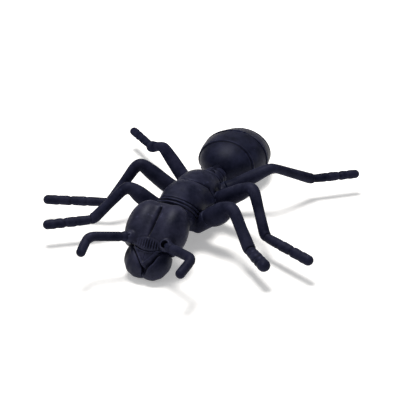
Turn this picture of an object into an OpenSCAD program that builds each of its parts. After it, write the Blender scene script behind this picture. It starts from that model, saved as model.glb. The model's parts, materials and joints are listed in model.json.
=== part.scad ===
// Giant toy ant, assembled from soft vinyl mouldings that plug into one another.
// It faces -Y, +X is its own left side, and it lies on its jaws and the belly of its gaster.

/* [Thorax] */
// Height of the thorax axis above the ground
axis_z = 19; // [18.5:0.25:20]
// Half width of the thorax at its front dome
thorax_r = 12.4; // [12:0.1:13]
// Thickness of the hollow shells
wall = 2; // [1.4:0.1:2.6]

/* [Head] */
// Radius of the head capsule, seen square to the face
head_r = 16.7; // [15.5:0.1:17.5]
// Half thickness of the head capsule
head_rz = 9.5; // [9:0.25:10.5]
// Downward slope of the face, in degrees
head_slope = 38; // [34:1:42]
// Half width of the two jaw lobes together
jaw_half_w = 12.2; // [11.5:0.1:12.5]

/* [Gaster] */
// Half width of the gaster
gaster_rx = 19.8; // [18:0.2:20.6]
// Half length of the gaster
gaster_ry = 26.6; // [25:0.2:27.6]
// Half height of the gaster
gaster_rz = 14.8; // [14.2:0.1:15.2]
// Downward slope of the waist, in degrees
waist_slope = 7; // [6:0.5:8]

/* [Limbs] */
// Radius of a leg at its root
root_r = 4.5; // [4:0.1:4.7]
// Radius of a leg at the knee
knee_r = 3.2; // [2.8:0.1:3.4]
// Radius of a leg at the ankle
ankle_r = 2.7; // [2.4:0.1:2.9]
// Radius of the swellings along the foot
foot_r = 2.6; // [2.4:0.1:2.7]
// Radius of the feelers
feeler_r = 2.45; // [2.2:0.05:2.6]

/* [Plugs] */
// Radius of the peg at a leg's root
peg_r = 2.4; // [2:0.1:2.6]
// Radius of the peg at a feeler's root
feeler_peg_r = 1.4; // [1.2:0.1:1.5]
// Radius of the neck and waist pins
pin_r = 3; // [2.6:0.1:3.2]
// Radial play of a peg in its socket
play = 0.05; // [0.03:0.01:0.08]

/* [Hidden] */
$fn = 48;

vinyl = [0.10, 0.10, 0.13];
gap = 0.35;          // air between pieces that turn against each other
socket_depth = 5;    // length of a leg peg inside its boss
barb = 0.7;          // how far a peg's barbed head stands out past the peg
barb_l = 1.4;        // length of that barbed head
boss_r = 4.8;        // radius of the boss round a leg socket
pin_boss_r = 5.4;    // radius of the boss round the neck and waist pins

// Thorax segments, front to rear: y of the middle, half length, radius
THORAX = [[-26, 10, thorax_r - 1.9], [-14, 13.5, thorax_r], [6, 15.5, thorax_r - 0.8]];
thorax_step = 1.5;   // length of one turned step of the thorax outline
thorax_slope = 3;    // degrees that the thorax falls towards the rear
thorax_front = -34.5;
thorax_rear = 20;
seam_z = axis_z - 1;
front_socket_y = -28;

// Head frame: the middle of the capsule, with its own -Y running down the face
head_at = [0, -50, axis_z + 0.4];
jaw_x = 3.2;         // how far each jaw's widest line lies from the middle
jaw_y = -13.5;
jaw_z = -2.6;
jaw_ry = 10.8;
jaw_rz = 7.9;
jaw_gap = 0.1;       // half the air between the jaws
head_split = -1.5;   // where the face moulding meets the back of the head, behind the rim
mouth_y = -12.4;     // where the head ends and the jaws begin
lip_thick = 1.8;
neck_in = -48.5;     // how far the neck pin reaches into the head

// Waist frame: starts at the thorax's rear face and slopes down to the rear
waist_at = [0, thorax_rear, axis_z - 1];
ring_y = 5;
gaster_y = 38;
gaster_seam = 40;    // the tergite step where the two gaster shells meet
waist_in = 22;       // how far the waist pin reaches into the gaster

// Limbs: root, knee, ankle and tip, chosen by hand because soft legs all lie a little differently
front_left = [[16.3, -21, 16.2], [30.3, -22.5, 27.4], [45.4, -36.1, 12.3], [57, -46.6, 12]];
front_right = [[-14.1, -21, 16.6], [-29.5, -22.5, 27], [-42.1, -39.6, 12.2], [-61.7, -53.2, 11.7]];
middle_left = [[14.5, 1, 16.1], [34.1, -2.5, 29.5], [47.8, -20, 12], [75.3, -32.7, 11.7]];
middle_right = [[-14.2, 1, 16.6], [-32.6, -2.5, 30.9], [-42.5, -19, 12], [-75.3, -29.2, 11.7]];
hind_left = [[12.5, 15.5, 14.8], [33.3, 28.5, 26.3], [49.5, 50.4, 12], [70.2, 66.4, 11.7]];
hind_right = [[-12.5, 15.5, 14.8], [-32.5, 28.5, 26.3], [-50.8, 51.4, 12.2], [-70.4, 67.3, 11.7]];
LEGS = [front_left, front_right, middle_left, middle_right, hind_left, hind_right];
feeler_left = [[10.5, -60.3, 19.9], [28.6, -69.6, 22.2], [27.1, -80.5, 19.7]];
feeler_right = [[-9.4, -60.3, 20.7], [-26.7, -72.5, 23.4], [-26, -81.5, 19.4]];
knee_bend = 6;       // how far from a knee its curve starts
ankle_bend = 4;      // how far from an ankle or a feeler's elbow its curve starts
foot_beads = 3;      // swellings along a foot
bead_depth = 0.3;    // how far the necks between them are cut in
sides = 14;          // sides of a limb's tube

function unit(v) = v / norm(v);

// Points round the corner q of the line p, q, s
function corner(p, q, s, reach) =
    let (a = q + reach * unit(p - q), b = q + reach * unit(s - q))
    [for (t = [0:0.25:1]) pow(1 - t, 2) * a + 2 * t * (1 - t) * q + t * t * b];

// Rings that close a limb with a round end: c is the last centre, u the direction
function cap(c, u, r) = [for (t = [15:25:90]) [c + r * sin(t) * u, max(0.15, r * cos(t))]];

// A frame with its origin at p and its Z axis towards q
module along(p, q) {
    d = q - p;
    translate(p)
        rotate([0, acos(d[2] / norm(d)), atan2(d[1], d[0])])
            children();
}

// A smooth egg shape
module egg(rx, ry, rz) {
    hull()
        scale([rx, ry, rz])
            sphere(r = 1, $fn = 32);
}

module rod_y(r, y0, y1) {
    translate([0, y0, 0])
        rotate([-90, 0, 0])
            cylinder(r = r, h = y1 - y0);
}

// A round tube through rings, each of them a centre and a radius, that never runs upright
module tube(rings) {
    n = len(rings);
    points = [
        for (i = [0:n - 1])
            let (
                u = unit(rings[min(i + 1, n - 1)][0] - rings[max(i - 1, 0)][0]),
                side = unit(cross(u, [0, 0, 1])),
                up = cross(side, u)
            )
            for (k = [0:sides - 1])
                let (a = 360 * k / sides)
                rings[i][0] + rings[i][1] * (cos(a) * side + sin(a) * up)
    ];
    walls = [
        for (i = [0:n - 2], k = [0:sides - 1])
            let (a = i * sides + k, b = i * sides + (k + 1) % sides)
            each [[a, b, a + sides], [b, b + sides, a + sides]]
    ];
    first = [for (k = [sides - 1:-1:0]) k];
    last = [for (k = [0:sides - 1]) (n - 1) * sides + k];
    polyhedron(points, concat([first], walls, [last]));
}

module half_space(z0, up) {
    translate([-60, -100, up ? z0 : z0 - 60])
        cube([120, 200, 60]);
}

module head_frame() {
    translate(head_at)
        rotate([head_slope, 0, 0])
            children();
}

module waist_frame() {
    translate(waist_at)
        rotate([-waist_slope, 0, 0])
            children();
}

// ---- Thorax ----

// Radius of the thorax at y, the widest of its three segments
function bulge(y, seg) = seg[2] * sqrt(max(0, 1 - pow((y - seg[0]) / seg[1], 2)));
function thorax_radius(y) = max([for (seg = THORAX) bulge(y, seg)]);

// Turned about the thorax axis, seen here with the outline's height running to the rear
module thorax_form(inset = 0) {
    y0 = thorax_front + inset;
    y1 = thorax_rear - inset;
    steps = ceil((y1 - y0) / thorax_step);
    translate([0, 0, axis_z - 0.6])
        rotate([-90 - thorax_slope, 0, 0])
            rotate_extrude($fn = 64)
                polygon([
                    [0, y0],
                    for (i = [0:steps])
                        let (y = y0 + i * (y1 - y0) / steps) [thorax_radius(y) - inset, y],
                    [0, y1],
                ]);
}

// All that lies in front of the thorax's rear face
module thorax_end() {
    translate([0, 0, axis_z - 0.6])
        rotate([-thorax_slope, 0, 0])
            translate([-20, thorax_rear - 30, -20])
                cube([40, 30.02, 40]);
}

module leg_bosses(grow = 0, longer = 0) {
    for (l = LEGS)
        along(l[0], l[1])
            translate([0, 0, -socket_depth - longer])
                cylinder(r = boss_r + grow, h = socket_depth + 2 * longer);
}

module leg_sockets() {
    for (l = LEGS)
        along(l[0], l[1]) {
            translate([0, 0, -socket_depth - 1])
                cylinder(r = peg_r + play, h = socket_depth + 3);
            translate([0, 0, -socket_depth - barb_l - 1])
                cylinder(r = peg_r + barb + 0.4, h = barb_l + 1);
        }
}

module pin_bosses() {
    translate([0, 0, axis_z])
        rod_y(pin_boss_r, thorax_front + 0.2, front_socket_y);
    waist_frame()
        rod_y(pin_boss_r, -7, -0.2);
}

module pin_bores() {
    translate([0, 0, axis_z])
        rod_y(pin_r, thorax_front - 2, front_socket_y + 1);
    waist_frame()
        rod_y(pin_r, -9, 4);
}

module thorax_cavity(keep_bosses) {
    difference() {
        thorax_form(wall);
        if (keep_bosses)
            leg_bosses();
        pin_bosses();
    }
}

module thorax_upper() {
    color(vinyl)
        difference() {
            thorax_form();
            half_space(seam_z, false);
            thorax_cavity(false);
            leg_bosses(play, 2);
            pin_bores();
        }
}

module thorax_lower() {
    color(vinyl)
        difference() {
            union() {
                difference() {
                    thorax_form();
                    half_space(seam_z, true);
                }
                leg_bosses();
            }
            thorax_cavity(true);
            leg_sockets();
            pin_bores();
        }
}

module neck_pin() {
    color(vinyl)
        translate([0, 0, axis_z]) {
            rod_y(pin_r, neck_in, front_socket_y);
            rod_y(pin_r + barb, neck_in, neck_in + barb_l);
            rod_y(pin_r + 1.2, thorax_front - 0.9, thorax_front - 0.25);
        }
}

// ---- Head ----

// The head capsule is turned about the line that stands square to the face
module capsule() {
    rotate_extrude($fn = 64)
        polygon([for (t = [-90:7.5:90]) [head_r * cos(t), head_rz * sin(t)]]);
}

module feeler_socket(f) {
    along(f[0], f[1]) {
        translate([0, 0, -5])
            cylinder(r = feeler_peg_r + play, h = 8);
        translate([0, 0, -0.6])
            cylinder(r = feeler_r + 0.6, h = 6);
    }
}

module neck_socket() {
    translate([0, 0, axis_z])
        union() {
            rod_y(pin_r + play, neck_in - 2, -30);
            rod_y(pin_r + barb + 0.4, neck_in - 2, neck_in + barb_l + 0.3);
        }
}

module face_half(front) {
    translate([-30, -30, front ? head_split : head_split - 60])
        cube(60);
}

module head_solid(front) {
    intersection() {
        capsule();
        face_half(front);
        translate([-30, mouth_y, -30])
            cube(60);
    }
}

module head_front() {
    color(vinyl)
        difference() {
            head_frame()
                difference() {
                    head_solid(true);
                    jaw_pegs(play);
                    lip_form(play);
                }
            feeler_socket(feeler_left);
            feeler_socket(feeler_right);
            neck_socket();
        }
}

module head_rear() {
    color(vinyl)
        difference() {
            head_frame()
                difference() {
                    head_solid(false);
                    jaw_pegs(play);
                }
            neck_socket();
        }
}

module jaw_pegs(grow = 0) {
    for (side = [-1, 1])
        translate([side * 5.5, mouth_y + 4.5, 0.8])
            rotate([90, 0, 0])
                cylinder(r = 2 + grow, h = 6);
}

// The flap falls a little from the mouth line to its point
module lip_form(grow = 0) {
    translate([0, mouth_y + 1.5, 5.6])
        rotate([12, 0, 0])
            translate([0, 0, -lip_thick - grow])
                linear_extrude(height = lip_thick + 8 * grow)
                    offset(r = 0.8 + grow, $fn = 24)
                        polygon([[-6.4, 0], [6.4, 0], [0, -8.2]]);
}

module jaw(side) {
    color(vinyl) {
        difference() {
            head_frame()
                difference() {
                    translate([side * jaw_x, jaw_y, jaw_z])
                        egg(jaw_half_w - jaw_x, jaw_ry, jaw_rz);
                    translate([side * (jaw_gap - 30) - 30, -60, -30])
                        cube(60);
                    translate([-30, mouth_y, -30])
                        cube(60);
                    lip_form(play);
                }
            half_space(0, false);
        }
        head_frame()
            intersection() {
                jaw_pegs();
                translate([side * 15 - 15, -30, -15])
                    cube(30);
            }
    }
}

module upper_lip() {
    color(vinyl)
        head_frame()
            lip_form();
}

module antenna(f) {
    stalk = unit(f[1] - f[0]);
    color(vinyl) {
        along(f[0], f[1])
            translate([0, 0, -4.6])
                cylinder(r = feeler_peg_r, h = 6);
        tube(concat(
            [[f[0] - 0.2 * stalk, feeler_r]],
            [for (p = corner(f[0], f[1], f[2], ankle_bend)) [p, feeler_r]],
            cap(f[2], unit(f[2] - f[1]), feeler_r)
        ));
    }
}

// ---- Waist and gaster ----

module waist_ring() {
    color(vinyl)
        difference() {
            waist_frame()
                difference() {
                    intersection() {
                        translate([0, ring_y, 0])
                            egg(7.4, 7.4, 8);
                        translate([-20, -2, -20])
                            cube([40, 11.6, 40]);
                    }
                    rod_y(pin_r, -3, 20);
                }
            thorax_end();
        }
}

module waist_pin() {
    color(vinyl)
        waist_frame() {
            rod_y(pin_r, -7, waist_in);
            rod_y(pin_r + barb, waist_in - barb_l, waist_in);
        }
}

module gaster_form(inset = 0) {
    translate([0, gaster_y, 0])
        egg(gaster_rx - inset, gaster_ry - inset, gaster_rz - inset);
}

module gaster_cavity() {
    difference() {
        waist_frame()
            difference() {
                gaster_form(wall);
                rod_y(pin_boss_r, ring_y, waist_in - barb_l - 0.3);
            }
        half_space(wall, false);
    }
}

module gaster_shell(front) {
    difference() {
        waist_frame()
            difference() {
                gaster_form();
                translate([-40, front ? gaster_seam : gaster_seam - 100, -40])
                    cube([80, 100, 80]);
            }
        gaster_cavity();
        half_space(0, false);
        waist_frame()
            rod_y(pin_r + play, ring_y, waist_in + 1);
    }
}

module gaster_front() {
    color(vinyl)
        gaster_shell(true);
}

module gaster_rear() {
    color(vinyl)
        gaster_shell(false);
}

// ---- Legs ----

// Rings of a leg: thigh, knee, shin, ankle, and a foot with swellings
function leg_rings(l) =
    let (
        thigh = unit(l[1] - l[0]),
        toe = unit(l[3] - l[2]),
        foot = norm(l[3] - l[2]) - ankle_bend,
        steps = 5 * foot_beads
    )
    concat(
        [[l[0] + gap * thigh, root_r]],
        [for (p = corner(l[0], l[1], l[2], knee_bend)) [p, knee_r]],
        [for (p = corner(l[1], l[2], l[3], ankle_bend)) [p, ankle_r]],
        [for (i = [1:steps])
            let (dip = bead_depth * (1 - cos(360 * foot_beads * i / steps)) / 2)
            [l[3] + (i / steps - 1) * foot * toe, foot_r - bead_depth + dip]],
        cap(l[3], toe, foot_r - bead_depth)
    );

module leg(l) {
    color(vinyl) {
        along(l[0], l[1]) {
            translate([0, 0, -socket_depth - barb_l])
                cylinder(r = peg_r, h = socket_depth + barb_l + 2);
            translate([0, 0, -socket_depth - barb_l - 0.3])
                cylinder(r = peg_r + barb, h = barb_l);
        }
        tube(leg_rings(l));
    }
}

thorax_upper();
thorax_lower();
neck_pin();
waist_ring();
waist_pin();
head_front();
head_rear();
jaw(1);  // jaw_left
jaw(-1);  // jaw_right
upper_lip();
antenna(feeler_left);  // antenna_left
antenna(feeler_right);  // antenna_right
gaster_front();
gaster_rear();
leg(front_left);  // leg_front_left
leg(front_right);  // leg_front_right
leg(middle_left);  // leg_middle_left
leg(middle_right);  // leg_middle_right
leg(hind_left);  // leg_hind_left
leg(hind_right);  // leg_hind_right
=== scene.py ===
"""A giant toy ant of matte blue-black soft vinyl: sculpted skins over the CAD frame.

Each skin is the zero surface of a distance field in millimetres, built from smooth unions of eggs
with folds, rings and pits pressed into them. Limbs are tubes swept along their own centre lines.
"""
import json
import math

import bpy
import numpy as np
from mathutils import Matrix, Vector


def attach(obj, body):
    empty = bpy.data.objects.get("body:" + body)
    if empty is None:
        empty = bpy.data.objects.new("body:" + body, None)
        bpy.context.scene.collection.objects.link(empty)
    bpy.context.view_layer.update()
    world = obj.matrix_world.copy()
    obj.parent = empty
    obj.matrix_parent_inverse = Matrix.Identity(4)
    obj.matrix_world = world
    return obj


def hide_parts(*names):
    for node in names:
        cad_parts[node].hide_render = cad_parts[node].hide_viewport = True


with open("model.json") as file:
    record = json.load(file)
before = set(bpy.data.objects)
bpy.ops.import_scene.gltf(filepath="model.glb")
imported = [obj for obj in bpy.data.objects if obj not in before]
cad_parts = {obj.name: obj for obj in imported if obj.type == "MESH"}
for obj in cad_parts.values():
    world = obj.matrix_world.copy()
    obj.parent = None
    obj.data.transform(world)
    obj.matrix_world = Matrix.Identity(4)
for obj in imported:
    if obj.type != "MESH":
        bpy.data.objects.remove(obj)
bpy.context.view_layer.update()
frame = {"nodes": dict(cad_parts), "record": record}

MM = 0.001
STEP = 0.38  # grid of the sculpted skins, mm
SIDES = 56  # round a limb
RING_GAP = 0.3  # between the rings along a limb, mm

# Places and sizes in millimetres, as the CAD has them.
THORAX_AT, THORAX_SLOPE = (0.0, 0.0, 18.4), -3.0
HEAD_AT, HEAD_SLOPE = (0.0, -50.0, 19.4), 38.0
WAIST_AT, WAIST_SLOPE = (0.0, 20.0, 18.0), -7.0
HEAD_SIZE = (16.7, 16.7, 9.5)
GASTER_MID, GASTER_SIZE = 38.0, (19.7, 26.5, 14.7)
GASTER_SEAM = 40.0
MOUTH_Y, MOUTH_CURVE, MOUTH_REACH = -12.0, 0.028, 80  # its edge curves with x squared, up to a limit
SEAM_Z = -0.6  # where the thorax's two halves meet
NECK_END, REAR_END = -35.6, 19.8  # of the thorax, along its own axis
BOSS_R = 4.8
FEELER_R = 2.45
ROOT_R = 4.85  # of a leg where it meets its boss
ROOT_GAP = 0.35  # between leg and boss
TOUCH = 0.02  # gap left over the ground

# Each leg's root, knee, ankle and tip, and each feeler's root, elbow and tip.
LEGS = {
    "leg_front_left": [(16.3, -21, 16.2), (30.3, -22.5, 27.4), (45.4, -36.1, 12.3), (57, -46.6, 12)],
    "leg_front_right": [
        (-14.1, -21, 16.6), (-29.5, -22.5, 27), (-42.1, -39.6, 12.2), (-61.7, -53.2, 11.7),
    ],
    "leg_middle_left": [(14.5, 1, 16.1), (34.1, -2.5, 29.5), (47.8, -20, 12), (75.3, -32.7, 11.7)],
    "leg_middle_right": [
        (-14.2, 1, 16.6), (-32.6, -2.5, 30.9), (-42.5, -19, 12), (-75.3, -29.2, 11.7),
    ],
    "leg_hind_left": [(12.5, 15.5, 14.8), (33.3, 28.5, 26.3), (49.5, 50.4, 12), (70.2, 66.4, 11.7)],
    "leg_hind_right": [
        (-12.5, 15.5, 14.8), (-32.5, 28.5, 26.3), (-50.8, 51.4, 12.2), (-70.4, 67.3, 11.7),
    ],
}
FEELERS = {
    "antenna_left": [(10.5, -60.3, 19.9), (28.6, -69.6, 22.2), (27.1, -80.5, 19.7)],
    "antenna_right": [(-9.4, -60.3, 20.7), (-26.7, -72.5, 23.4), (-26, -81.5, 19.4)],
}
BODIES = frame["record"]["behaviour"]["bodies"]
BODY_OF = {node: body for body, nodes in BODIES.items() for node in nodes}


# ---- Distance fields ----

def egg(p, centre, size):
    """Distance to an egg with these half sizes."""
    q = [(a - c) / s for a, c, s in zip(p, centre, size)]
    near = np.sqrt(sum(a * a for a in q))
    steep = np.sqrt(sum((a / s) ** 2 for a, s in zip(q, size))) + 1e-9
    return near * (near - 1) / steep


def join(a, b, soft):
    """Union of two fields with a soft fillet."""
    h = np.clip(0.5 + 0.5 * (b - a) / soft, 0, 1)
    return b + (a - b) * h - soft * h * (1 - h)


def keep(a, b, soft=0.3):
    """What lies in both fields, with a soft edge."""
    return -join(-a, -b, soft)


def mirror(p):
    """The point folded onto the left half, for what is the same on both sides."""
    return (np.abs(p[0]), p[1], p[2])


def bump(d, width):
    """A smooth hill: 1 at distance 0, gone beyond two widths."""
    return np.exp(-((d / width) ** 2))


def rise(a, width):
    """A smooth step from 0 to 1 as a passes 0."""
    return 0.5 + 0.5 * np.tanh(a / width)


def along_line(p, points):
    """(distance to a bent line, how far along it from 0 to 1)."""
    best, where, total = None, None, len(points) - 1
    for i, (a, b) in enumerate(zip(points[:-1], points[1:])):
        ab = [v - u for u, v in zip(a, b)]
        t = sum((c - u) * w for c, u, w in zip(p, a, ab)) / sum(w * w for w in ab)
        t = np.clip(t, 0, 1)
        d = np.sqrt(sum((c - u - t * w) ** 2 for c, u, w in zip(p, a, ab)))
        if best is None:
            best, where = d, t / total
        else:
            where = np.where(d < best, (i + t) / total, where)
            best = np.minimum(best, d)
    return best, where


def seen_above(p, points):
    """along_line, measured across the face only, whatever the height."""
    return along_line(p[:2], points)


def cylinder(p, start, end, radius):
    """Distance to a round rod with flat ends."""
    a, b = np.array(start, float), np.array(end, float)
    axis = b - a
    length = np.linalg.norm(axis)
    axis /= length
    t = sum((c - u) * w for c, u, w in zip(p, a, axis))
    r = np.sqrt(np.maximum(sum((c - u) ** 2 for c, u in zip(p, a)) - t * t, 0))
    return np.maximum(r - radius, np.maximum(-t, t - length))


# ---- From field to mesh ----

def place(at, slope):
    """A frame at a point in millimetres, pitched about X by slope degrees, giving metres."""
    turn = Matrix.Translation(Vector(at) * MM) @ Matrix.Rotation(math.radians(slope), 4, "X")
    return turn @ Matrix.Scale(MM, 4)


def net(field, low, high, step):
    """Surface net of field = 0: corners and quads, with every corner then drawn onto the surface."""
    axes = [np.arange(a - step, b + 2 * step, step) for a, b in zip(low, high)]
    value = field(tuple(np.meshgrid(*axes, indexing="ij")))
    inside = value < 0
    cells = tuple(n - 1 for n in value.shape)
    total = np.zeros(cells + (3,))
    count = np.zeros(cells)
    corner = [slice(0, -1), slice(1, None)]
    origin = np.stack(np.meshgrid(*[a[:-1] for a in axes], indexing="ij"), -1)
    for axis in range(3):
        for i in (0, 1):
            for j in (0, 1):
                pick = [i, j]
                pick.insert(axis, 0)
                lower = tuple(corner[k] for k in pick)
                pick[axis] = 1
                upper = tuple(corner[k] for k in pick)
                crossed = inside[lower] != inside[upper]
                where = np.zeros(cells + (3,))
                gap = np.where(crossed, value[lower] - value[upper], 1)
                where[..., axis] = value[lower] / gap * step
                others = [k for k in range(3) if k != axis]
                where[..., others[0]] = i * step
                where[..., others[1]] = j * step
                total += where * crossed[..., None]
                count += crossed
    live = count > 0
    index = np.full(cells, -1)
    index[live] = np.arange(live.sum())
    points = (origin + total / np.maximum(count, 1)[..., None])[live]
    quads = []
    for axis in range(3):
        b, c = (axis + 1) % 3, (axis + 2) % 3
        cut = [slice(None)] * 3
        cut[axis], cut[b], cut[c] = slice(0, -1), slice(1, -1), slice(1, -1)
        ahead = list(cut)
        ahead[axis] = slice(1, None)
        leaving = inside[tuple(cut)] & ~inside[tuple(ahead)]
        entering = ~inside[tuple(cut)] & inside[tuple(ahead)]
        ring = []
        for back_b, back_c in ((1, 1), (0, 1), (0, 0), (1, 0)):
            part = [slice(None)] * 3
            part[b] = slice(0, -1) if back_b else slice(1, None)
            part[c] = slice(0, -1) if back_c else slice(1, None)
            ring.append(index[tuple(part)])
        for mask, order in ((leaving, (0, 1, 2, 3)), (entering, (3, 2, 1, 0))):
            quads.append(np.stack([ring[k][mask] for k in order], 1))
    for _ in range(3):
        points = settle(field, points, step)
    return points, np.concatenate(quads)


def settle(field, points, step):
    """One Newton step of the points towards field = 0."""
    tiny = 0.02
    value = field(tuple(points.T))
    slope = []
    for axis in range(3):
        moved = points.copy()
        moved[:, axis] += tiny
        slope.append((field(tuple(moved.T)) - value) / tiny)
    slope = np.stack(slope, 1)
    move = value[:, None] * slope / np.maximum((slope ** 2).sum(1), 0.05)[:, None]
    return points - np.clip(move, -0.4 * step, 0.4 * step)


def build(name, points, faces, matrix):
    """A smooth mesh object from points in millimetres and faces, put in place by a matrix."""
    mesh = bpy.data.meshes.new(name)
    mesh.from_pydata(points.tolist(), [], faces)
    mesh.polygons.foreach_set("use_smooth", np.ones(len(mesh.polygons), bool))
    mesh.transform(matrix)
    obj = bpy.data.objects.new(name, mesh)
    bpy.context.scene.collection.objects.link(obj)
    return obj


def skin(name, field, low, high, matrix, nodes, material):
    """A sculpted piece that stands for CAD nodes and rides on their body."""
    points, quads = net(field, low, high, STEP)
    obj = build(name, points, quads.tolist(), matrix)
    dress(obj, nodes, material)


def dress(obj, nodes, material):
    """Give a piece its material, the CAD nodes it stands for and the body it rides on."""
    obj.data.materials.append(material)
    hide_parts(*nodes)
    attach(obj, BODY_OF[nodes[0]])


# ---- Tubes for limbs ----

def bend(a, b, c, reach, count):
    """Points round the corner b of the line a, b, c."""
    start = b + reach * (a - b) / np.linalg.norm(a - b)
    end = b + reach * (c - b) / np.linalg.norm(c - b)
    steps = np.linspace(0, 1, count)
    return [(1 - t) ** 2 * start + 2 * t * (1 - t) * b + t * t * end for t in steps]


def centre_line(points, reaches):
    """Evenly spaced points along a line with rounded corners, and their distances along it."""
    points = [np.array(p, float) for p in points]
    path = [points[0]]
    for i, reach in enumerate(reaches):
        path += bend(points[i], points[i + 1], points[i + 2], reach, 12)
    path.append(points[-1])
    path = np.array(path)
    run = np.concatenate([[0], np.cumsum(np.linalg.norm(np.diff(path, axis=0), axis=1))])
    even = np.linspace(0, run[-1], int(run[-1] / RING_GAP) + 1)
    return np.stack([np.interp(even, run, path[:, k]) for k in range(3)], 1), even


def tube(name, line, radius, sides, cap):
    """A tube with a round far end. radius has one number a ring, or one a ring and corner."""
    ahead = np.gradient(line, axis=0)
    ahead /= np.linalg.norm(ahead, axis=1)[:, None]
    tip, way = line[-1], ahead[-1]
    radius = np.broadcast_to(radius if radius.ndim == 2 else radius[:, None], (len(line), sides))
    turns = np.radians(np.linspace(6, 84, 14))
    line = np.concatenate([line, [tip + cap * math.sin(t) * way for t in turns]])
    ahead = np.concatenate([ahead, [way] * len(turns)])
    radius = np.concatenate([radius, [radius[-1] * math.cos(t) for t in turns]])
    side = np.cross(ahead, (0, 0, 1))
    side /= np.linalg.norm(side, axis=1)[:, None]
    over = np.cross(side, ahead)
    angle = np.linspace(0, 2 * math.pi, sides, endpoint=False)
    ring = np.cos(angle)[None, :, None] * side[:, None] + np.sin(angle)[None, :, None] * over[:, None]
    points = (line[:, None] + radius[..., None] * ring).reshape(-1, 3)
    n = len(line)
    i = np.arange(n - 1)[:, None] * sides
    k = np.arange(sides)[None]
    nxt = (k + 1) % sides
    quads = np.stack([i + k, i + nxt, i + nxt + sides, i + k + sides], -1).reshape(-1, 4)[:, ::-1]
    points = np.concatenate([points, [line[0]], [tip + cap * way]])
    first, last = n * sides, n * sides + 1
    fans = [(first, a, b) for a, b in zip(nxt[0], k[0])]
    fans += [(last, (n - 1) * sides + a, (n - 1) * sides + b) for a, b in zip(k[0], nxt[0])]
    faces = quads.tolist() + [[int(v) for v in fan[::-1]] for fan in fans]
    return build(name, points, faces, Matrix.Scale(MM, 4))


# ---- Material ----

def noise(new, scale, detail, rough):
    tex = new("ShaderNodeTexNoise")
    tex.inputs["Scale"].default_value = scale
    tex.inputs["Detail"].default_value = detail
    tex.inputs["Roughness"].default_value = rough
    return tex


def vinyl(name, dark, pale, rough, grain, gloss):
    """Matte soft vinyl: mottled colour, fine moulded grain, painted highlight on rims, painted shade in
    creases.
    """
    mat = bpy.data.materials.new(name)
    mat.use_nodes = True
    tree = mat.node_tree
    new, link = tree.nodes.new, tree.links.new
    shader = tree.nodes["Principled BSDF"]
    shader.inputs["IOR"].default_value = 1.47
    shader.inputs["Specular IOR Level"].default_value = gloss
    shader.inputs["Specular Tint"].default_value = (0.8, 0.84, 1.0, 1)
    spot = new("ShaderNodeTexCoord")
    mottle = noise(new, 110, 6, 0.65)
    fine = noise(new, 1500, 5, 0.5)
    pores = new("ShaderNodeTexVoronoi")
    pores.inputs["Scale"].default_value = 2200
    for tex in (mottle, fine, pores):
        link(spot.outputs["Object"], tex.inputs["Vector"])
    tone = new("ShaderNodeValToRGB")
    tone.color_ramp.elements[0].position = 0.33
    tone.color_ramp.elements[1].position = 0.7
    tone.color_ramp.elements[0].color = (*dark, 1)
    tone.color_ramp.elements[1].color = (*pale, 1)
    link(mottle.outputs["Fac"], tone.inputs["Fac"])
    # painted shade darkens the creases and a painted highlight lightens the rims, both read from
    # pointiness
    geometry = new("ShaderNodeNewGeometry")
    edge = new("ShaderNodeValToRGB")
    edge.color_ramp.elements[0].position = 0.455
    edge.color_ramp.elements[0].color = (0.25, 0.25, 0.25, 1)
    edge.color_ramp.elements[1].position = 0.56
    edge.color_ramp.elements[1].color = (1.9, 1.9, 1.85, 1)
    middle = edge.color_ramp.elements.new(0.5)
    middle.color = (1, 1, 1, 1)
    link(geometry.outputs["Pointiness"], edge.inputs["Fac"])
    # the painted shade and painted highlight multiply the mottled colour
    painted_shade_and_highlight = new("ShaderNodeMix")
    painted_shade_and_highlight.data_type = "RGBA"
    painted_shade_and_highlight.blend_type = "MULTIPLY"
    painted_shade_and_highlight.inputs[0].default_value = 1.0
    link(tone.outputs["Color"], painted_shade_and_highlight.inputs[6])
    link(edge.outputs["Color"], painted_shade_and_highlight.inputs[7])
    link(painted_shade_and_highlight.outputs[2], shader.inputs["Base Color"])
    # roughness follows the mottling
    span = new("ShaderNodeMapRange")
    span.inputs["To Min"].default_value = rough - 0.07
    span.inputs["To Max"].default_value = rough + 0.09
    link(mottle.outputs["Fac"], span.inputs["Value"])
    link(span.outputs["Result"], shader.inputs["Roughness"])
    # soft swells, then the moulded grain, then pores
    swell = new("ShaderNodeBump")
    swell.inputs["Strength"].default_value = 0.5
    swell.inputs["Distance"].default_value = 0.0006
    link(mottle.outputs["Fac"], swell.inputs["Height"])
    first = new("ShaderNodeBump")
    link(swell.outputs["Normal"], first.inputs["Normal"])
    first.inputs["Strength"].default_value = grain
    first.inputs["Distance"].default_value = 0.00008
    link(fine.outputs["Fac"], first.inputs["Height"])
    second = new("ShaderNodeBump")
    second.inputs["Strength"].default_value = grain * 0.5
    second.inputs["Distance"].default_value = 0.00004
    link(pores.outputs["Distance"], second.inputs["Height"])
    link(first.outputs["Normal"], second.inputs["Normal"])
    link(second.outputs["Normal"], shader.inputs["Normal"])
    return mat


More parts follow.
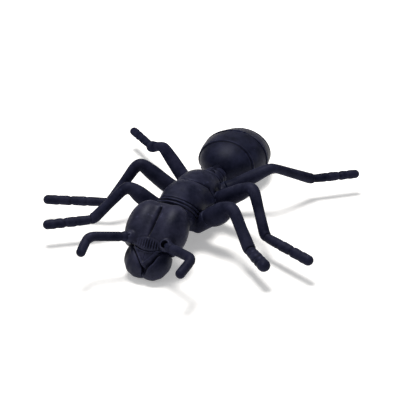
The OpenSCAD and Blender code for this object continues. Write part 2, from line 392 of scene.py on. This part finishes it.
# name, darkest and palest colour, roughness, depth of the grain, gloss;
# DULL has no gloss: it is for the far hind leg, whose shin is seen end on from the photo's side
# and reflected the white surroundings there as a pale patch
SHELL = vinyl("vinyl_shell", (0.0022, 0.003, 0.0105), (0.0185, 0.0198, 0.0405), 0.45, 0.35, 0.08)
HEAD = vinyl("vinyl_head", (0.0028, 0.0035, 0.0112), (0.0228, 0.0234, 0.0455), 0.46, 0.4, 0.12)
GASTER = vinyl("vinyl_gaster", (0.0017, 0.0023, 0.008), (0.0112, 0.0126, 0.0295), 0.46, 0.3, 0.08)
LIMB = vinyl("vinyl_limb", (0.0026, 0.0033, 0.0105), (0.0152, 0.0163, 0.0335), 0.5, 0.45, 0.05)
DULL = vinyl("vinyl_dull", (0.0025, 0.0032, 0.01), (0.0165, 0.0175, 0.0335), 0.6, 0.45, 0.0)
PIN = vinyl("vinyl_pin", (0.0016, 0.0018, 0.006), (0.004, 0.0045, 0.0105), 0.45, 0.2, 0.05)


# ---- Thorax ----

TO_THORAX = place(THORAX_AT, THORAX_SLOPE)


def in_thorax(point):
    """A point of the whole object in the thorax's own frame, both in millimetres."""
    return tuple((TO_THORAX.inverted() @ (Vector(point) * MM)))


def leg_axis(name):
    """(root, unit direction towards the knee) of a leg in the thorax's frame."""
    root, knee = (np.array(in_thorax(p)) for p in LEGS[name][:2])
    return root, (knee - root) / np.linalg.norm(knee - root)


def profile(stations, blur):
    """A smooth radius along y through (y, radius) stations, and its slope."""
    fine = 0.1
    ys = np.arange(-60, 90, fine)
    radius = np.interp(ys, [a for a, _ in stations], [b for _, b in stations])
    kernel = np.exp(-((np.arange(-30, 31) * fine / blur) ** 2))
    radius = np.convolve(np.pad(radius, 30, "edge"), kernel / kernel.sum(), "valid")
    return ys, radius, np.gradient(radius, ys)


BACK = profile([
    (-34.2, 5.0), (-33, 8.2), (-30.5, 10.2), (-27, 10.9), (-23.5, 11.3), (-20, 12.1),
    (-16, 12.5), (-12, 12.2), (-9, 11.5), (-7, 11.3), (-4, 11.5), (1, 11.6),
    (6, 11.3), (10, 10.5), (14, 9.6), (17, 8.7), (19, 6.8), (21, 3.0),
], 0.9)


def thorax_mass(p):
    """One long body with a collar, a front dome and a rear dome, and the folds between them."""
    x, y, z = p
    q = mirror(p)
    ys, radius, slope = BACK
    fallen = z + 0.012 * np.maximum(y + 1, 0) ** 2
    tall = np.sqrt(x * x + (fallen * 1.02) ** 2)
    d = (tall - np.interp(y, ys, radius)) / np.sqrt(1 + np.interp(y, ys, slope) ** 2)
    d = join(d, egg(q, (8.6, -7.5, -2.2), (5.7, 8.5, 6.2)), 2.0)
    # folded skin between collar and dome
    slant = y + 0.9 * z
    front = rise(-(y + 12), 3)
    folds = (
        (-21.4, 0.5, -0.55),
        (-22.7, 0.55, 0.4),
        (-24.0, 0.4, -0.4),
        (-25.2, 0.5, 0.36),
        (-26.6, 0.5, -0.4),
    )
    for at, width, height in folds:
        d = d - height * bump(slant - at, width) * front
    d = d - 0.5 * bump(slant + 31.5, 2.6) * front
    # suture across the back, running rearward down the sides
    top = rise(z + 4, 2)
    seam = y + 9.8 - 0.06 * np.minimum(x * x, 90)
    d = d + 0.55 * bump(seam, 0.42) * top + 0.4 * bump(seam, 1.6) * top
    d = d - 0.15 * bump(seam - 1.1, 0.6) * top
    # hollow where the suture runs out above the middle leg
    hollow = np.sqrt((q[0] - 12.6) ** 2 + (y - 2.0) ** 2 + (z - 0.5) ** 2)
    d = d + 1.6 * bump(hollow, 2.4)
    # raised rims where the rear dome ends
    d = d - 0.6 * bump(y - 15.6, 0.6) + 0.5 * bump(y - 14.4, 0.6) + 0.7 * bump(y - 17.0, 0.5)
    d = d - 0.4 * bump(y - 18.3, 0.6)
    d = keep(d, y - REAR_END, 0.6)
    d = keep(d, NECK_END - y, 0.4)
    # flank: ledge and a row of pits above the front leg
    side = rise(q[0] - 7.5, 1)
    ledge = z + 1.8 + 0.05 * (y + 10)
    d = d + 0.6 * bump(ledge, 0.7) * side * rise(y + 19, 1) * rise(-1 - y, 1)
    for at in (-14.5, -12.5, -10.5, -8.5, -6.5):
        d = d + 1.0 * bump(np.sqrt((y - at) ** 2 + (z + 3.6) ** 2), 0.6) * side
    return d


def thorax_under(p):
    """The lower half: coxae that carry the legs and a furrow along the belly."""
    q = mirror(p)
    d = thorax_mass(p)
    d = join(d, egg(q, (6.2, -22.0, -6.4), (5.4, 5.6, 5.2)), 1.4)
    d = join(d, egg(q, (6.2, -4.0, -7.6), (5.4, 6.0, 4.8)), 1.4)
    d = join(d, egg(q, (5.6, 9.5, -6.6), (5.0, 5.6, 4.4)), 1.4)
    for name in LEGS:
        root, way = leg_axis(name)
        d = join(d, cylinder(p, root - 9 * way, root - 0.6 * way, BOSS_R - 1.0) - 0.9, 1.5)
    d = d + 0.6 * bump(q[0], 0.7) * rise(-p[2] - 6, 1)
    return d


def sockets(p, deep, radius):
    """Round holes for the legs' pegs."""
    d = None
    for name in LEGS:
        root, way = leg_axis(name)
        hole = cylinder(p, root - deep * way, root + 6 * way, radius)
        d = hole if d is None else np.minimum(d, hole)
    return d


def thorax_upper(p):
    d = keep(thorax_mass(p), SEAM_Z + 0.08 - p[2], 0.25)
    return keep(d, -sockets(p, 9, BOSS_R + 0.1), 0.3)


def thorax_lower(p):
    d = keep(thorax_under(p), p[2] - SEAM_Z + 0.08, 0.25)
    rods = None
    for name in LEGS:
        root, way = leg_axis(name)
        rod = cylinder(p, root - 9 * way, root - 0.1 * way, BOSS_R - 0.15) - 0.15
        rods = rod if rods is None else np.minimum(rods, rod)
    d = join(d, rods, 0.6)
    return keep(d, -sockets(p, 0.45, BOSS_R - 0.7), 0.2)


skin("thorax_upper_skin", thorax_upper, (-16, -37, -2), (16, 21, 14),
     TO_THORAX, ["thorax_upper"], SHELL)
skin("thorax_lower_skin", thorax_lower, (-21, -37, -16), (21, 21, 8),
     TO_THORAX, ["thorax_lower"], SHELL)


# ---- Head ----

TO_HEAD = place(HEAD_AT, HEAD_SLOPE)
FACE_SHIFT = 0.8  # the face looks a little to the ant's left
BAR_PITCH = 1.4  # of the upright bars over the mouth
# feeler sockets: side, x, y, z, radius of the pit
SOCKETS = ((1, 10.2, -7.8, 7.0, 1.9), (-1, 9.6, -7.4, 7.2, 0.3))


def mouth_line(across):
    """How far forward the mouth's edge is at this distance from its middle."""
    return MOUTH_Y + MOUTH_CURVE * np.minimum(across * across, MOUTH_REACH)


def head_field(p):
    x, y, z = p
    q = mirror(p)
    d = egg(p, (0, 0, 0), (HEAD_SIZE[0] - 0.3, HEAD_SIZE[1] - 0.3, HEAD_SIZE[2] - 0.5))
    d = join(d, egg(q, (6.8, 2.0, 0.4), (9.6, 14.4, 9.2)), 1.0)
    # valley and sharp crease down the forehead, its left lip standing over it
    line, t = seen_above(p, [(0.1, 12.5), (0.4, 9), (0.5, 2), (0.3, -5.4)])
    belly = np.sin(math.pi * np.clip(t * 0.97 + 0.02, 0.02, 0.98)) ** 0.55
    above = rise(z, 1)
    d = d + belly * (1.7 * bump(line, 0.6) + 0.8 * bump(line, 1.9) + 0.7 * bump(line, 4.6)) * above
    d = d - 0.1 * belly * bump(x + 1.4, 0.7) * above * rise(y + 6, 1)
    # raised face plate between the feelers, arched above
    face = x - FACE_SHIFT
    upper = y + 5.9 + 0.04 * face * face
    plate = rise(-upper, 0.3) * rise(9.0 - np.abs(face), 0.6) * above
    furrow = bump(upper - 0.5, 0.4) * rise(9.5 - np.abs(face), 0.6) * above
    d = d - 0.14 * plate + 0.08 * furrow
    # upright bars along its lower edge
    bars = np.cos(2 * math.pi * face / BAR_PITCH)
    band = rise(-(upper + 1.0), 0.4) * rise(y + 11.2 - 0.02 * face * face, 0.25)
    ends = rise(6.8 - face, 0.7) * rise(face + 6, 1.5) * (0.4 + 0.6 * rise(face + 1.5, 1.0))
    d = d - 0.34 * bars * band * ends * above
    # mouth edge, rounded under, smiling up at its ends
    smile = mouth_line(face) - y
    d = keep(d, smile, 0.5)
    d = d - 0.25 * bump(smile + 0.9, 0.5) * above
    # sockets of the feelers, with a swollen rim outside
    for side, sx, sy, sz, radius in SOCKETS:
        out = np.sqrt((x - side * sx) ** 2 + (y - sy) ** 2 + (z - sz) ** 2)
        d = join(d, out - 3.3 + 0.12 * np.abs(z - sz), 1.2)
        pit = egg(p, (side * (sx - 0.3), sy, sz + 1.6), (radius, radius + 0.2, 3.2))
        d = keep(d, -pit, 0.35)
    # shallow hollow behind each cheek
    cheek = np.sqrt((q[0] - 13.0) ** 2 + (y - 3.0) ** 2 + (z - 6) ** 2)
    return d + 0.4 * bump(cheek, 2.4)


def above_ground(p, at, slope):
    """Height over the ground of points in a frame pitched by slope, less the gap that is left."""
    turn = math.radians(slope)
    return at[2] + p[1] * math.sin(turn) + p[2] * math.cos(turn) - TOUCH


def jaw_field(side):
    """Half of a broad muzzle, with the groove that runs beside the lip down to its tip."""
    if side > 0:
        # a wedge that widens down to the tip
        bed = [(7.0, -13.0), (4.9, -16.9), (1.9, -20.4), (1.1, -21.2)]
        narrow, broad, deep, wide = 0.35, 1.35, 2.8, 9.0
    else:
        bed = [(-6.6, -11.8), (-2.4, -17.0), (0.3, -20.3)]
        narrow, broad, deep, wide = 0.35, 0.4, 0.8, 9.6

    def field(p):
        x, y, z = p
        q = (side * x, y, z)
        d = egg(q, (3.2, -13.5, -2.6), (wide, 10.7, 7.8))
        d = keep(d, 0.06 - q[0], 0.15)
        d = keep(d, y - mouth_line(x) + 0.3, 0.5)
        edge, t = seen_above(p, bed)
        d = d + deep * bump(edge, narrow + (broad - narrow) * t) * rise(z - 0.2, 0.6)
        outer, _ = seen_above(p, [(side * 8.8, -11.6), (0.8 + side * 2.4, -20.6)])
        d = d - 0.3 * bump(outer, 0.9) * rise(z + 3, 1)
        # soft pleats down the outside
        d = d + 0.1 * np.sin(1.5 * q[0] + 0.4 * y) * rise(q[0] - 4, 1.5)
        return keep(d, -above_ground(p, HEAD_AT, HEAD_SLOPE), 0.3)
    return field


def lip_field(p):
    """A triangular flap with raised slanting rims, hollow between them, coming to a point."""
    x, y, z = p
    q = np.sqrt((x - 0.5 + 0.1 * (y + 20) / 8) ** 2 + 0.15)
    fall = 5.9 + 0.2 * (y + 12.0)
    slant = (q - 6.5 - 0.8 * (y + 12.0)) / math.hypot(1, 0.8)
    hollow = rise(-slant - 1.6, 0.9) * rise(-(y + 13.0), 0.7)
    rimmed = fall - 1.2 * hollow + 0.3 * bump(slant + 0.7, 0.4)
    d = keep(slant, z - rimmed, 0.35)
    d = keep(d, fall - 3.2 - z, 0.3)
    return keep(d, y - MOUTH_Y - MOUTH_CURVE * x * x + 0.3, 0.3)


skin("head_skin", head_field, (-17, -15, -10), (17, 17, 11),
     TO_HEAD, ["head_front", "head_rear"], HEAD)
skin("jaw_left_skin", jaw_field(1), (-1, -26, -11), (13, -8, 7),
     TO_HEAD, ["jaw_left"], HEAD)
skin("jaw_right_skin", jaw_field(-1), (-13, -26, -11), (1, -8, 7),
     TO_HEAD, ["jaw_right"], HEAD)
skin("upper_lip_skin", lip_field, (-8, -23, 0), (9, -10, 7.5),
     TO_HEAD, ["upper_lip"], HEAD)


# ---- Waist and gaster ----

TO_WAIST = place(WAIST_AT, WAIST_SLOPE)


def ring_field(p):
    """The petiole: a rounded node with a ridge and a furrow round it."""
    d = egg(p, (0, 6.0, -2.8), (6.9, 8.2, 5.7))
    d = keep(d, -0.6 - p[1] - 0.07 * p[2], 0.4)
    d = d - 0.45 * bump(p[1] - 3.2, 0.7) + 0.4 * bump(p[1] - 5.0, 0.7)
    return keep(d, p[1] - 13.0, 0.6)


def gaster_mass(p):
    """The ringed rear body, each plate's front rim standing over the one before."""
    x, y, z = p
    d = egg(p, (0, GASTER_MID, 0), GASTER_SIZE)
    back = y - GASTER_MID
    for ring, lip in ((-13.0, 0.42), (2.0, 0.4), (13.5, 0.25)):
        past = back - ring + 0.005 * x * x
        d = d + 0.7 * lip * bump(past + 0.55, 0.45)
        d = d - lip * bump(past - 0.25, 0.36)
        d = d - 0.5 * lip * np.exp(-np.maximum(past, 0) / 4.0) * rise(past, 0.2)
    # the underside's own plates end at a soft fold
    d = d + 0.5 * bump(z + 5.5 + 0.05 * back, 0.6) * rise(back + 20, 2) * rise(17 - back, 2)
    return keep(d, -above_ground(p, WAIST_AT, WAIST_SLOPE), 0.5)


def gaster_front(p):
    return keep(gaster_mass(p), p[1] - GASTER_SEAM - 0.1, 0.2)


def gaster_rear(p):
    return keep(gaster_mass(p), GASTER_SEAM + 0.05 - p[1], 0.2)


skin("waist_ring_skin", ring_field, (-9, -2, -9), (9, 14.5, 9),
     TO_WAIST, ["waist_ring"], SHELL)
skin("gaster_front_skin", gaster_front, (-21, 9, -16), (21, 41, 16),
     TO_WAIST, ["gaster_front"], GASTER)
skin("gaster_rear_skin", gaster_rear, (-21, 39, -16), (21, 66, 16),
     TO_WAIST, ["gaster_rear"], GASTER)


# ---- Limbs ----

# each leg's radii in mm: thigh, knee, middle of the shin, end of the shin, foot, tip;
# and how far the thigh sags below
SHAPES = {
    "leg_front_left": (5.3, 3.4, 3.1, 3.3, 2.9, 3.1, 1.1),
    "leg_front_right": (4.6, 3.3, 2.8, 3.0, 2.6, 2.6, 0.2),
    "leg_middle_left": (4.9, 3.4, 2.8, 2.9, 2.6, 2.75, 0.5),
    "leg_middle_right": (4.5, 3.5, 2.9, 2.9, 2.5, 2.65, 0.2),
    "leg_hind_left": (4.0, 2.9, 2.8, 3.1, 2.5, 2.5, 0.2),
    "leg_hind_right": (3.9, 3.1, 2.8, 3.5, 2.3, 2.55, 0.2),
}


def leg(name):
    """A one-piece leg: swollen thigh, knobbed knee, a shin that swells into the ankle, a beaded foot."""
    points = LEGS[name]
    root, knee = np.array(points[0], float), np.array(points[1], float)
    way = (knee - root) / np.linalg.norm(knee - root)
    line, run = centre_line([tuple(root + ROOT_GAP * way)] + points[1:], [5.5, 3])
    joints = [np.array(p, float) for p in points]
    at_knee = run[np.argmin(np.linalg.norm(line - joints[1], axis=1))]
    at_ankle = run[np.argmin(np.linalg.norm(line - joints[2], axis=1))]
    total = run[-1]
    thigh, knob, middle, swell, neck, tip, sag = SHAPES[name]
    foot, shin = total - at_ankle, at_ankle - at_knee
    stations = [
        (0, ROOT_R), (3, thigh), (0.62 * at_knee, thigh - 0.15),
        (0.9 * at_knee, knob + 0.25), (at_knee + 3, knob - 0.3),
        (at_knee + 0.5 * shin, middle), (at_ankle - 2.5, swell), (at_ankle, swell),
        (at_ankle + 1.6, neck - 0.15), (at_ankle + 0.3 * foot, neck + 0.1),
        (total - 2, tip), (total, tip),
    ]
    radius = np.interp(run, [a for a, _ in stations], [b for _, b in stations])
    kernel = np.exp(-((np.arange(-8, 9) * RING_GAP) ** 2))
    radius = np.convolve(np.pad(radius, 8, "edge"), kernel / kernel.sum(), "valid")
    radius *= np.sqrt(np.clip(0.9 + 0.1 * run / 0.4, 0, 1))
    angle = np.linspace(0, 2 * math.pi, SIDES, endpoint=False)
    over, under = np.clip(np.sin(angle), 0, 1)[None], np.clip(-np.sin(angle), 0, 1)[None]
    radius = radius[:, None] * (1 + 0.03 * np.cos(2 * angle)[None])
    # the thigh hangs fullest near its root
    radius = radius + sag * bump(run - 6.5, 5.5)[:, None] * under
    radius = radius - 0.5 * bump(run, 1.2)[:, None] * under
    # knob on top of the knee, folds under it
    radius = radius + 0.3 * bump(run - at_knee, 2.2)[:, None] * over
    for shift in (-1.5, 0.0, 1.5):
        radius = radius - 0.25 * bump(run - at_knee - shift, 0.4)[:, None] * under
    # one fold across the ankle, deeper on top
    across = run[:, None] - at_ankle - 1.2 + 0.5 * np.sin(angle)[None]
    radius = radius - bump(across, 0.5) * (0.22 + 0.25 * over)
    # beads of the foot, uneven because the moulding is soft
    for part, depth in ((0.36, 0.22), (0.62, 0.4), (0.82, 0.16)):
        tilt = run[:, None] - at_ankle - part * foot + 0.5 * np.cos(angle + 3 * part)[None]
        radius = radius - depth * bump(tilt, 0.8) + 0.12 * bump(tilt - 2.0, 1.3)
    # shallow flats left by the mould along the shin
    flats = bump(np.sin(2 * angle + 0.6), 0.3)[None] * bump(run - at_knee - 0.5 * shin, 8)[:, None]
    radius = radius - 0.1 * flats
    obj = tube(name + "_skin", line, radius, SIDES, tip)
    dress(obj, [name], DULL if name == "leg_hind_right" else LIMB)


def feeler(name):
    """An elbowed feeler whose round base sits in its socket."""
    points = FEELERS[name]
    line, run = centre_line(points, [4])
    elbow = run[np.argmin(np.linalg.norm(line - np.array(points[1], float), axis=1))]
    radius = np.full(len(run), FEELER_R)
    radius *= np.sqrt(np.clip(0.45 + 0.55 * run / 2.2, 0, 1))
    radius += 0.25 * bump(run - 2.8, 1.0) - 0.22 * bump(run - 4.6, 0.7)
    radius += 0.15 * bump(run - elbow, 2) - 0.12 * bump(run - elbow - 2.8, 0.6)
    obj = tube(name + "_skin", line, radius, SIDES, FEELER_R)
    dress(obj, [name], LIMB)


for limb_name in LEGS:
    leg(limb_name)
for limb_name in FEELERS:
    feeler(limb_name)

for pin in ("neck_pin", "waist_pin"):
    node = frame["nodes"][pin]
    node.data.materials.clear()
    node.data.materials.append(PIN)


# ---- Studio ----

FLOOR_HALF = 4.0  # metres
AZIMUTH, ELEVATION, AWAY = 23.3, 28.9, 0.62  # of the camera: degrees, degrees, metres
AIM = (0, 0.006, 0.010)


def floor():
    """A pale floor that glows a little, as a lit sweep does."""
    mesh = bpy.data.meshes.new("floor")
    corners = [(-1, -1), (1, -1), (1, 1), (-1, 1)]
    points = [(FLOOR_HALF * x, FLOOR_HALF * y, 0) for x, y in corners]
    mesh.from_pydata(points, [], [(0, 1, 2, 3)])
    obj = bpy.data.objects.new("floor", mesh)
    bpy.context.scene.collection.objects.link(obj)
    mat = bpy.data.materials.new("pale_floor")
    mat.use_nodes = True
    shader = mat.node_tree.nodes["Principled BSDF"]
    shader.inputs["Base Color"].default_value = (0.9, 0.9, 0.9, 1)
    shader.inputs["Roughness"].default_value = 0.9
    shader.inputs["Emission Color"].default_value = (1, 1, 1, 1)
    shader.inputs["Emission Strength"].default_value = 0.3
    mesh.materials.append(mat)


def lamp(name, at, aim, size, power, colour):
    light = bpy.data.lights.new(name, "AREA")
    light.shape = "RECTANGLE"
    light.size, light.size_y = size
    light.energy = power
    light.color = colour
    obj = bpy.data.objects.new(name, light)
    obj.location = at
    obj.rotation_euler = (Vector(aim) - Vector(at)).to_track_quat("-Z", "Y").to_euler()
    bpy.context.scene.collection.objects.link(obj)


def sky(strength):
    world = bpy.data.worlds.new("studio")
    world.use_nodes = True
    back = world.node_tree.nodes["Background"]
    back.inputs["Color"].default_value = (1, 1, 1, 1)
    back.inputs["Strength"].default_value = strength
    bpy.context.scene.world = world


def camera():
    """From the ant's left front and above."""
    azimuth, elevation = math.radians(AZIMUTH), math.radians(ELEVATION)
    level = math.cos(elevation)
    back = Vector((math.sin(azimuth) * level, -math.cos(azimuth) * level, math.sin(elevation)))
    data = bpy.data.cameras.new("camera")
    data.lens = 101.5
    data.sensor_width = 36
    obj = bpy.data.objects.new("camera", data)
    obj.location = Vector(AIM) + AWAY * back
    obj.rotation_euler = back.to_track_quat("Z", "Y").to_euler()
    bpy.context.scene.collection.objects.link(obj)
    bpy.context.scene.camera = obj


floor()
sky(0.31)
lamp("top_soft", (-0.16, 0.16, 0.9), (0, 0, 0), (0.34, 0.34), 10.4, (1.0, 0.97, 0.93))
lamp("front_soft", (-0.5, -0.8, 0.7), (0, 0, 0), (0.4, 0.3), 1.0, (1.0, 1.0, 1.0))
camera()
bpy.context.scene.view_settings.view_transform = "Standard"
